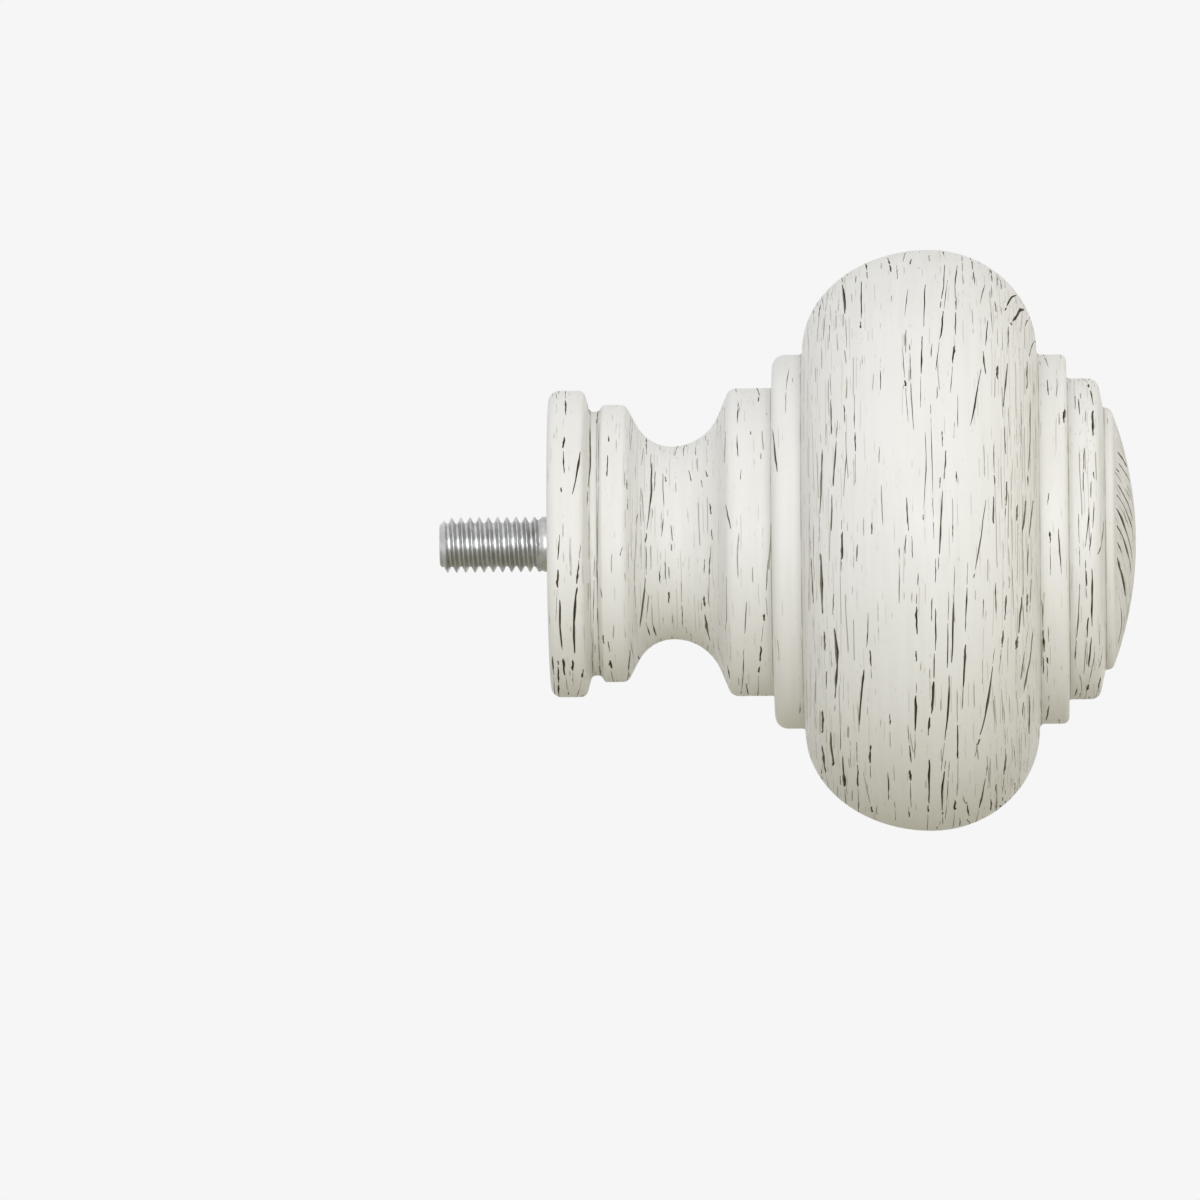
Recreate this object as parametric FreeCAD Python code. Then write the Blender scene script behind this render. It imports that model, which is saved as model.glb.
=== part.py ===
import FreeCAD, Part
import math
import os

os.makedirs("parts", exist_ok=True)

# Curtain pole finial, a casting turned about the X axis, with a steel bolt cast into its base.
# Sizes are in millimetres. The base face that seats on the pole is at X = 0, +X points to the dome.

# Base collar
base_radius = 16.70
base_length = 3.85
base_front_round = 1.15
base_back_round = 0.80
base_back_slope = 0.60

# Groove behind the base collar
groove_radius = 14.37
groove_floor = 1.00
groove_round = 0.60

# Ring between the groove and the scotia
ring_radius = 15.10
ring_front_slope = 0.45
ring_length = 2.46
ring_front_round = 0.35
ring_back_round = 0.90

# Scotia, the hollow neck: a small cove on the pole's side and a larger one on the bead's side
throat_radius = 10.49
front_cove_radius = 4.30
front_flank_run = 2.46
back_cove_radius = 5.52
back_flank_run = 2.62

# Drum between the scotia and the step collar
drum_radius = 16.77
drum_length = 4.68
drum_front_round = 1.10

# Step collar in front of the bead
step_radius = 20.37
step_length = 3.30
step_front_round = 1.40

# Bead, fuller towards the dome: two quarter ellipses that meet at its widest place
bead_radius = 31.65
bead_front_depth = 13.75
bead_back_depth = 11.77
bead_front_foot_round = 0.35
bead_back_foot_round = 0.50

# First collar behind the bead
shoulder_radius = 20.11
shoulder_length = 3.22
shoulder_back_round = 0.70

# Second collar, whose end face leans towards the dome
cap_radius = 17.48
cap_length = 3.33
cap_back_round = 1.20
cap_back_slope = 0.65

# Domed end
dome_radius = 14.28
dome_rim_length = 0.78
dome_rise = 2.67
dome_edge_round = 0.80

# Rounding in the inner corners where one collar steps to the next
step_inner_round = 0.30
dome_inner_round = 0.20

# Steel bolt: the threaded end that screws into the pole, and the shank and head cast into the base
thread_radius = 3.00
thread_reach = 12.00
thread_chamfer = 0.80
shank_radius = 2.68
shank_length = 16.00
head_across_flats = 10.00
head_height = 4.00


def point(x, radius):
    """Point of the outline at x along the axis and at a radius from it."""
    return FreeCAD.Vector(x, 0, radius)


def rounded_edges(corners):
    """Edges of an open outline through corners given as (point, round).

    A round is limited by the straight stretches beside it.
    """
    points = [corner for corner, _ in corners]
    tangents = [0.0] * len(corners)
    half_turns = [0.0] * len(corners)
    for i in range(1, len(corners) - 1):
        half_turns[i] = (points[i] - points[i - 1]).getAngle(points[i + 1] - points[i]) / 2
        tangents[i] = corners[i][1] * math.tan(half_turns[i])
    room = [1.0] * len(corners)
    for i in range(len(corners) - 1):
        wanted = tangents[i] + tangents[i + 1]
        share = min(1.0, (points[i + 1] - points[i]).Length / wanted) if wanted else 1.0
        room[i] = min(room[i], share)
        room[i + 1] = min(room[i + 1], share)

    edges = []
    last = points[0]
    for i in range(1, len(corners) - 1):
        tangent = tangents[i] * room[i]
        to_last = (points[i - 1] - points[i]).normalize()
        to_next = (points[i + 1] - points[i]).normalize()
        radius = tangent / math.tan(half_turns[i])
        sagitta = radius / math.cos(half_turns[i]) - radius
        start = points[i] + to_last * tangent
        middle = points[i] + (to_last + to_next).normalize() * sagitta
        end = points[i] + to_next * tangent
        add_line(edges, last, start)
        edges.append(Part.Arc(start, middle, end).toShape())
        last = end
    add_line(edges, last, points[-1])
    return edges


def add_line(edges, start, end, shortest=1e-6):
    """Adds a straight edge, unless two rounds meet with none between them."""
    if not start.isEqual(end, shortest):
        edges.append(Part.makeLine(start, end))


def quarter_ellipse(start, corner, end):
    """Quarter of an ellipse from start to end, tangent there to the sides that meet at the corner."""
    curve = Part.BSplineCurve()
    curve.buildFromPolesMultsKnots([start, corner, end], [3, 3], [0, 1], False, 2, [1, math.sqrt(0.5), 1])
    return curve.toShape()


def cove_tangent(cove_radius, depth, run):
    """Length of throat that a cove takes up beside a flank of the given depth and run."""
    return cove_radius * math.tan(math.atan2(depth, run) / 2)


def front_edges():
    """Outline from the base face to the front foot of the bead."""
    back_of_base = base_length + base_back_slope
    front_of_ring = back_of_base + groove_floor + ring_front_slope
    back_of_ring = front_of_ring + ring_length
    front_cove = back_of_ring + front_flank_run
    throat = front_cove + cove_tangent(front_cove_radius, ring_radius - throat_radius, front_flank_run)
    back_cove = throat + cove_tangent(back_cove_radius, drum_radius - throat_radius, back_flank_run)
    front_of_drum = back_cove + back_flank_run
    front_of_step = front_of_drum + drum_length
    foot = front_of_step + step_length
    return rounded_edges([
        (point(0, 0), 0),
        (point(0, base_radius), base_front_round),
        (point(base_length, base_radius), base_back_round),
        (point(back_of_base, groove_radius), groove_round),
        (point(back_of_base + groove_floor, groove_radius), groove_round),
        (point(front_of_ring, ring_radius), ring_front_round),
        (point(back_of_ring, ring_radius), ring_back_round),
        (point(front_cove, throat_radius), front_cove_radius),
        (point(back_cove, throat_radius), back_cove_radius),
        (point(front_of_drum, drum_radius), drum_front_round),
        (point(front_of_step, drum_radius), step_inner_round),
        (point(front_of_step, step_radius), step_front_round),
        (point(foot, step_radius), bead_front_foot_round),
        (point(foot, step_radius + bead_front_foot_round), 0),
    ])


def bead_edges(foot):
    """Outline of the bead from its front foot, over its widest place, to its back foot."""
    widest = point(foot.x + bead_front_depth, bead_radius)
    back_foot = point(widest.x + bead_back_depth, shoulder_radius + bead_back_foot_round)
    return [
        quarter_ellipse(foot, point(foot.x, bead_radius), widest),
        quarter_ellipse(widest, point(back_foot.x, bead_radius), back_foot),
    ]


def back_edges(foot):
    """Outline of the two collars and the dome, from the back foot of the bead to the tip."""
    back_of_shoulder = foot.x + shoulder_length
    back_of_cap = back_of_shoulder + cap_length
    front_of_dome = back_of_cap + cap_back_slope
    dome = dome_edges(front_of_dome)
    collars = rounded_edges([
        (foot, 0),
        (point(foot.x, shoulder_radius), bead_back_foot_round),
        (point(back_of_shoulder, shoulder_radius), shoulder_back_round),
        (point(back_of_shoulder, cap_radius), step_inner_round),
        (point(back_of_cap, cap_radius), cap_back_round),
        (point(front_of_dome, dome_radius), dome_inner_round),
        (dome[0].firstVertex(True).Point, 0),
    ])
    return collars + dome


def dome_edges(front):
    """Outline of the dome from the end of its straight rim, round its edge and over its crown to the tip."""
    crown_radius = (dome_radius ** 2 + dome_rise ** 2) / (2 * dome_rise)
    tip = point(front + dome_rim_length + dome_rise, 0)
    crown_centre = point(tip.x - crown_radius, 0)
    half_turn = math.acos(dome_radius / crown_radius) / 2
    edge_round = min(dome_edge_round, (dome_rim_length - dome_inner_round) / math.tan(half_turn))

    round_height = dome_radius - edge_round
    round_offset = math.sqrt((crown_radius - edge_round) ** 2 - round_height ** 2)
    round_centre = crown_centre + point(round_offset, round_height)
    crown_angle = math.atan2(round_height, round_offset)
    round_start = round_centre + polar(edge_round, math.pi / 2)
    round_middle = round_centre + polar(edge_round, (math.pi / 2 + crown_angle) / 2)
    crown_start = crown_centre + polar(crown_radius, crown_angle)
    crown_middle = crown_centre + polar(crown_radius, crown_angle / 2)
    return [
        Part.Arc(round_start, round_middle, crown_start).toShape(),
        Part.Arc(crown_start, crown_middle, tip).toShape(),
    ]


def polar(length, angle):
    """Offset in the plane of the outline, at an angle from the axis."""
    return point(length * math.cos(angle), length * math.sin(angle))


def turned_outline():
    """Closed outline of half the casting's section, from the axis at its base to the tip of its dome."""
    edges = front_edges()
    edges += bead_edges(end_of(edges))
    edges += back_edges(end_of(edges))
    edges.append(Part.makeLine(end_of(edges), point(0, 0)))
    return Part.Wire(edges)


def end_of(edges):
    """Point where a run of edges ends."""
    return edges[-1].lastVertex(True).Point


def revolve(outline):
    """Solid of revolution of a closed outline about the X axis."""
    return Part.Face(outline).revolve(FreeCAD.Vector(0, 0, 0), FreeCAD.Vector(1, 0, 0), 360)


def hexagon(x, across_flats):
    """Closed hexagon square to the axis."""
    corner_radius = across_flats / 2 / math.cos(math.pi / 6)
    turns = [math.pi / 3 * side for side in range(6)]
    corners = [FreeCAD.Vector(x, corner_radius * math.cos(a), corner_radius * math.sin(a)) for a in turns]
    return Part.makePolygon(corners + corners[:1])


def make_bolt():
    """Bolt with a chamfered free end, its thread drawn at the outer diameter."""
    stem = revolve(Part.makePolygon([
        point(-thread_reach, 0),
        point(-thread_reach, thread_radius - thread_chamfer),
        point(thread_chamfer - thread_reach, thread_radius),
        point(0, thread_radius),
        point(0, shank_radius),
        point(shank_length, shank_radius),
        point(shank_length, 0),
        point(-thread_reach, 0),
    ]))
    head = Part.Face(hexagon(shank_length, head_across_flats)).extrude(FreeCAD.Vector(head_height, 0, 0))
    return stem.fuse(head).removeSplitter()


bolt = make_bolt()
body = revolve(turned_outline()).cut(bolt)

body.exportStep("parts/finial_body.step")
bolt.exportStep("parts/mounting_bolt.step")
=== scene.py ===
import math
from functools import reduce
from itertools import pairwise

import bpy
import numpy as np
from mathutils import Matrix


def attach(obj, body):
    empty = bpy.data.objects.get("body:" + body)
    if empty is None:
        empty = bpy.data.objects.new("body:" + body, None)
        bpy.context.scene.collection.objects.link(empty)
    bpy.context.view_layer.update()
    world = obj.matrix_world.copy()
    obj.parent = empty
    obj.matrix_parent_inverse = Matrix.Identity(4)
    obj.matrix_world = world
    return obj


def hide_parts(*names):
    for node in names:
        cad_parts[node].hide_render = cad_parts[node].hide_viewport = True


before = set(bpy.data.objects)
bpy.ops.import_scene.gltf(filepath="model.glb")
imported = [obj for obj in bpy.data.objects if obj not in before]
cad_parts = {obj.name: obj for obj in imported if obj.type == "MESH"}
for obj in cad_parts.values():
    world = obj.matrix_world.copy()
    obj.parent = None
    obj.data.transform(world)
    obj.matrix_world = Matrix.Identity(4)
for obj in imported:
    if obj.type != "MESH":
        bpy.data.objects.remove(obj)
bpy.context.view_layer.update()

# Curtain pole finial: a painted casting with a moulded wood grain, and the steel bolt in its base.
# The axis is X, the base face lies at X = 0 and the dome points to +X.
# Sizes are noted in millimetres, and MM turns them into the scene's metres.
MM = 0.001

# Base collar, groove and ring
base_radius = 16.70
base_length = 3.85
base_front_round = 1.15
base_back_round = 0.80
base_back_slope = 0.60
groove_radius = 14.37
groove_floor = 1.00
groove_round = 0.60
ring_radius = 15.10
ring_front_slope = 0.45
ring_length = 2.46
ring_front_round = 0.35
ring_back_round = 0.90

# Scotia, the hollow neck
throat_radius = 10.49
front_cove_radius = 4.30
front_flank_run = 2.46
back_cove_radius = 5.52
back_flank_run = 2.62

# Drum and step collar
drum_radius = 16.77
drum_length = 4.68
drum_front_round = 1.10
step_radius = 20.37
step_length = 3.30
step_front_round = 1.40

# Bead, two quarter ellipses that meet at its widest place
bead_radius = 31.65
bead_front_depth = 13.75
bead_back_depth = 11.77
bead_front_foot_round = 0.35
bead_back_foot_round = 0.50

# Collars behind the bead, and the domed end
shoulder_radius = 20.11
shoulder_length = 3.22
shoulder_back_round = 0.70
cap_radius = 17.48
cap_length = 3.33
cap_back_round = 1.20
cap_back_slope = 0.65
dome_radius = 14.28
dome_rim_length = 0.78
dome_rise = 2.67
dome_edge_round = 0.80
step_inner_round = 0.30
dome_inner_round = 0.20

# Bolt: M6 thread outside the base, plain shank and hexagon head inside it
thread_radius = 3.00
thread_reach = 12.00
thread_chamfer = 0.80
thread_pitch = 1.00
thread_depth = 0.613
thread_run_out = 1.20
shank_radius = 2.68
shank_length = 16.00
head_across_flats = 10.00
head_height = 4.00

# View from the side, a little from the dome's end, and the picture's width and centre (x, z) at the axis
view_turn = math.radians(1.2)
view_roll = math.radians(0.57)
view_distance = 2000.0
picture_width = 130.8
picture_centre = (5.39, -6.14)
sensor = 36.0
view_end = 50000.0

# Fineness of the meshes, and the differences that count as none
turn_steps = 180
arc_step = math.radians(15)
longest_step = 0.9
bead_steps = 22
crown_steps = 14
bolt_steps = 64
thread_slices = 16
smooth_below = math.radians(35)
same_place = 1e-4
merge_below = 0.002
rounding = 1e-6

# Hollow corners with a smaller round than this hold a line of wash and painted shade
tight_round = 0.90


# Outline of the casting

def unit(vector):
    """Vector of length 1 in the same direction."""
    return vector / np.linalg.norm(vector)


def turned(vector, angle):
    """Vector of the outline's plane, turned by an angle."""
    cosine, sine = math.cos(angle), math.sin(angle)
    return np.array([cosine * vector[0] - sine * vector[1], sine * vector[0] + cosine * vector[1]])


def rounded(corners, hollows):
    """Points of an open outline through corners given as (x, radius, round).

    The middles of tight hollow corners are added to hollows.
    """
    places = [np.array(corner[:2], float) for corner in corners]
    path = [places[0]]
    for last, corner, following, (_, _, size) in zip(places, places[1:], places[2:], corners[1:]):
        to_last = unit(last - corner)
        to_next = unit(following - corner)
        turn = math.pi - math.acos(float(np.clip(to_last @ to_next, -1, 1)))
        side = math.copysign(1, to_last[1] * to_next[0] - to_last[0] * to_next[1])
        start = corner + to_last * size * math.tan(turn / 2)
        centre = corner + unit(to_last + to_next) * size / math.cos(turn / 2)
        steps = max(2, round(turn / arc_step), math.ceil(turn * size / longest_step))
        path += [centre + turned(start - centre, side * turn * k / steps) for k in range(steps + 1)]
        if side > 0 and size < tight_round:
            hollows.append(path[-1 - steps // 2])
    path.append(places[-1])
    return path


def quarter_turn(steps):
    """Angles that part a quarter turn in equal steps, without its start."""
    return [math.pi / 2 * k / steps for k in range(1, steps + 1)]


def cove_tangent(cove_radius, depth, run):
    """Length of throat that a cove takes up beside a flank of the given depth and run."""
    return cove_radius * math.tan(math.atan2(depth, run) / 2)


def front_path(hollows):
    """Outline from the middle of the base face to the front foot of the bead."""
    back_of_base = base_length + base_back_slope
    front_of_ring = back_of_base + groove_floor + ring_front_slope
    back_of_ring = front_of_ring + ring_length
    front_cove = back_of_ring + front_flank_run
    throat = front_cove + cove_tangent(front_cove_radius, ring_radius - throat_radius, front_flank_run)
    back_cove = throat + cove_tangent(back_cove_radius, drum_radius - throat_radius, back_flank_run)
    front_of_drum = back_cove + back_flank_run
    front_of_step = front_of_drum + drum_length
    foot = front_of_step + step_length
    return rounded([
        (0, 0, 0),
        (0, base_radius, base_front_round),
        (base_length, base_radius, base_back_round),
        (back_of_base, groove_radius, groove_round),
        (back_of_base + groove_floor, groove_radius, groove_round),
        (front_of_ring, ring_radius, ring_front_round),
        (back_of_ring, ring_radius, ring_back_round),
        (front_cove, throat_radius, front_cove_radius),
        (back_cove, throat_radius, back_cove_radius),
        (front_of_drum, drum_radius, drum_front_round),
        (front_of_step, drum_radius, step_inner_round),
        (front_of_step, step_radius, step_front_round),
        (foot, step_radius, bead_front_foot_round),
        (foot, step_radius + bead_front_foot_round, 0),
    ], hollows)


def bead_path(foot):
    """Outline of the bead, from its front foot over its widest place to its back foot."""
    front_rise = bead_radius - foot[1]
    back_rise = bead_radius - shoulder_radius - bead_back_foot_round
    widest = foot[0] + bead_front_depth
    back_foot = widest + bead_back_depth
    path = []
    for a in quarter_turn(bead_steps):
        path.append(np.array([widest - bead_front_depth * math.cos(a), foot[1] + front_rise * math.sin(a)]))
    for a in quarter_turn(bead_steps):
        drop = back_rise * (1 - math.cos(a))
        path.append(np.array([back_foot - bead_back_depth * (1 - math.sin(a)), bead_radius - drop]))
    return path


def back_path(foot, hollows):
    """Outline of the two collars and the dome, from the back foot of the bead to the tip."""
    back_of_shoulder = foot[0] + shoulder_length
    back_of_cap = back_of_shoulder + cap_length
    front_of_dome = back_of_cap + cap_back_slope
    crown_radius = (dome_radius ** 2 + dome_rise ** 2) / (2 * dome_rise)
    tip = front_of_dome + dome_rim_length + dome_rise
    crown_centre = np.array([tip - crown_radius, 0])
    round_height = dome_radius - dome_edge_round
    round_offset = math.sqrt((crown_radius - dome_edge_round) ** 2 - round_height ** 2)
    round_centre = crown_centre + np.array([round_offset, round_height])
    crown_angle = math.atan2(round_height, round_offset)
    rim_end = round_centre + np.array([0, dome_edge_round])
    path = rounded([
        (foot[0], foot[1], 0),
        (foot[0], shoulder_radius, bead_back_foot_round),
        (back_of_shoulder, shoulder_radius, shoulder_back_round),
        (back_of_shoulder, cap_radius, step_inner_round),
        (back_of_cap, cap_radius, cap_back_round),
        (front_of_dome, dome_radius, dome_inner_round),
        (rim_end[0], rim_end[1], 0),
    ], hollows)[1:]
    rim_turn = math.pi / 2 - crown_angle
    rim_steps = round(rim_turn / arc_step)
    for k in range(1, rim_steps + 1):
        path.append(round_centre + turned(np.array([0, dome_edge_round]), -rim_turn * k / rim_steps))
    crown_start = np.array([math.cos(crown_angle), math.sin(crown_angle)]) * crown_radius
    for k in range(1, crown_steps + 1):
        path.append(crown_centre + turned(crown_start, -crown_angle * k / crown_steps))
    return path


def thinned(path):
    """The path with no two points in one place and no long stretch without a point."""
    kept = [path[0]]
    for place in path[1:]:
        gap = np.linalg.norm(place - kept[-1])
        if gap < same_place:
            continue
        pieces = math.ceil(gap / longest_step - rounding)
        start = kept[-1]
        kept += [start + (place - start) * k / pieces for k in range(1, pieces + 1)]
    return np.array(kept)


hollow_corners = []
front = front_path(hollow_corners)
bead = bead_path(front[-1])
outline = thinned(front + bead + back_path(bead[-1], hollow_corners))
outline[-1, 1] = 0
outline_x, outline_radius = outline.T
outline_length = np.concatenate([[0], np.cumsum(np.linalg.norm(np.diff(outline, axis=0), axis=1))])
along = np.gradient(outline, outline_length, axis=0)
outline_normal = np.stack([-along[:, 1], along[:, 0]], axis=1)
outline_normal /= np.linalg.norm(outline_normal, axis=1, keepdims=True)
face_edge = int(np.argmax(outline_radius >= base_radius - base_front_round - rounding))


def length_at(x):
    """Outline length at a place along the axis, on the turned side of the casting."""
    return np.interp(x, outline_x[face_edge:], outline_length[face_edge:])


def x_at(length):
    """Place along the axis at an outline length."""
    return np.interp(length, outline_length, outline_x)


def radius_at(length):
    """Radius of the casting at an outline length."""
    return np.interp(length, outline_length, outline_radius)


def on_surface(length, angle):
    """Points and normals of the casting at an outline length and an angle about the axis.

    Angle 0 faces -Y and a quarter turn faces up.
    """
    x = x_at(length)
    radius = radius_at(length)
    lean = np.interp(length, outline_length, outline_normal[:, 0])
    rise = np.interp(length, outline_length, outline_normal[:, 1])
    scale = np.hypot(lean, rise)
    lean, rise = lean / scale, rise / scale
    cosine, sine = np.cos(angle), np.sin(angle)
    return (
        np.stack([x, -radius * cosine, radius * sine], axis=-1),
        np.stack([lean, -rise * cosine, rise * sine], axis=-1),
    )


def nearest_on_outline(places):
    """Outline length of the nearest place on the outline, and the height above it, for each vertex."""
    x, radius = places[:, 0], np.hypot(places[:, 1], places[:, 2])
    best = np.full(len(x), np.inf)
    length = np.zeros(len(x))
    height = np.zeros(len(x))
    for i, (start, end) in enumerate(pairwise(outline)):
        step = end - start
        span = np.linalg.norm(step)
        share = np.clip(((x - start[0]) * step[0] + (radius - start[1]) * step[1]) / span ** 2, 0, 1)
        off_x = x - start[0] - share * step[0]
        off_radius = radius - start[1] - share * step[1]
        distance = np.hypot(off_x, off_radius)
        nearer = distance < best
        best[nearer] = distance[nearer]
        length[nearer] = (outline_length[i] + share * span)[nearer]
        height[nearer] = ((step[0] * off_radius - step[1] * off_x) / span)[nearer]
    return length, height


# Modelling helpers

def start_point(name, place):
    """New mesh with one vertex, in edit mode, from which an outline is drawn by extrusion."""
    bpy.ops.object.select_all(action="DESELECT")
    bpy.ops.mesh.primitive_plane_add(size=MM)
    piece = bpy.context.object
    piece.name = name
    bpy.ops.object.mode_set(mode="EDIT")
    bpy.ops.mesh.select_mode(type="VERT")
    bpy.ops.mesh.select_all(action="SELECT")
    bpy.ops.mesh.merge(type="CENTER")
    bpy.ops.transform.translate(value=place)
    return piece


def draw_to(start, places):
    """Extrudes the selected vertex from place to place."""
    for here, there in pairwise([start, *places]):
        step = tuple(b - a for a, b in zip(here, there))
        bpy.ops.mesh.extrude_vertices_move(TRANSFORM_OT_translate={"value": step})


def turn_about_axis(steps):
    """Spins the drawn outline about X into a closed skin that faces outwards."""
    bpy.ops.mesh.select_all(action="SELECT")
    bpy.ops.mesh.spin(steps=steps, angle=2 * math.pi, center=(0, 0, 0), axis=(1, 0, 0))
    bpy.ops.mesh.select_all(action="SELECT")
    bpy.ops.mesh.remove_doubles(threshold=merge_below * MM)
    bpy.ops.mesh.normals_make_consistent(inside=False)
    bpy.ops.object.mode_set(mode="OBJECT")


def turned_piece(name, path, steps):
    """Closed body of revolution from (x, radius) points in millimetres."""
    places = [(x * MM, radius * MM, 0) for x, radius in path]
    piece = start_point(name, places[0])
    draw_to(places[0], places[1:])
    turn_about_axis(steps)
    return piece


def make_active(piece):
    """Selects one piece alone, for the operators."""
    bpy.ops.object.select_all(action="DESELECT")
    piece.select_set(True)
    bpy.context.view_layer.objects.active = piece


def boolean(piece, other, operation):
    """Applies a Boolean with another closed mesh, which is then deleted."""
    make_active(piece)
    step = piece.modifiers.new("cut", "BOOLEAN")
    step.operation = operation
    step.solver = "MANIFOLD"
    step.object = other
    bpy.ops.object.modifier_apply(modifier=step.name)
    bpy.data.objects.remove(other)


def smooth_shading(piece):
    """Smooth shading, with sharp edges left where faces meet at a wide angle."""
    make_active(piece)
    bpy.ops.object.shade_smooth_by_angle(angle=smooth_below)


def read_places(mesh):
    """Places of all vertices."""
    values = np.empty(len(mesh.vertices) * 3)
    mesh.vertices.foreach_get("co", values)
    return values.reshape(-1, 3)


def write_places(mesh, places):
    """Moves all vertices to new places."""
    mesh.vertices.foreach_set("co", places.ravel())
    mesh.update()


def write_attribute(mesh, name, kind, values):
    """Writes one value, or one vector, for each vertex."""
    attribute = mesh.attributes.get(name) or mesh.attributes.new(name, kind, "POINT")
    attribute.data.foreach_set("vector" if kind == "FLOAT_VECTOR" else "value", values.ravel())


# Moulded grain

rng = np.random.default_rng(7)

# Gouges: stations along each and boxes for its room, how far it stands out, and how wide and deep it goes
gouge_stations = 9
box_count = 32
grain_lift = 0.05
grain_room = 0.06
edge_reach = 0.75
least_gouge = 0.05
gouge_growth = 0.75
deepest_gouge = 0.26

# Taper and torn edges of a stroke
fullest_between = (0.2, 0.8)
blunt_share = 0.3
taper_power = 0.6
end_fullness = -0.05
narrowest_share = 0.2
tear_middle = -0.05
tear_spread = 0.36
tear_limits = (0.35, 1.4)
bend_count = 4
bend_spread = 0.12
bend_limit = 0.2

# Dashes of a chain: their lengths, how much width and tone vary, and the gaps between them
shortest_dash = 0.7
longest_dash = 9.0
usual_dash = 4.5
usual_drawn_dash = 14.0
dash_spread = 0.4
width_spread = 0.10
width_limits = (0.8, 1.2)
tone_spread = 0.10
palest_tone = 0.1
gap_share = 0.8
usual_gap = 0.08

# Drawn strokes, and the thin tails of the bold ones
widest_stroke = 0.48
slope_reach = 0.2
least_seen = 0.6
filled_tone = 0.5
bold_from = 0.18
tail_gap = 0.12
shortest_tail = 1.0
longest_tail = 4.0
tail_width = 0.08
tail_tone = 0.8

# Stations along a stroke as shares of its length, closer together towards its ends
station_share = (1 - np.cos(np.linspace(0, math.pi, gouge_stations))) / 2
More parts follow.
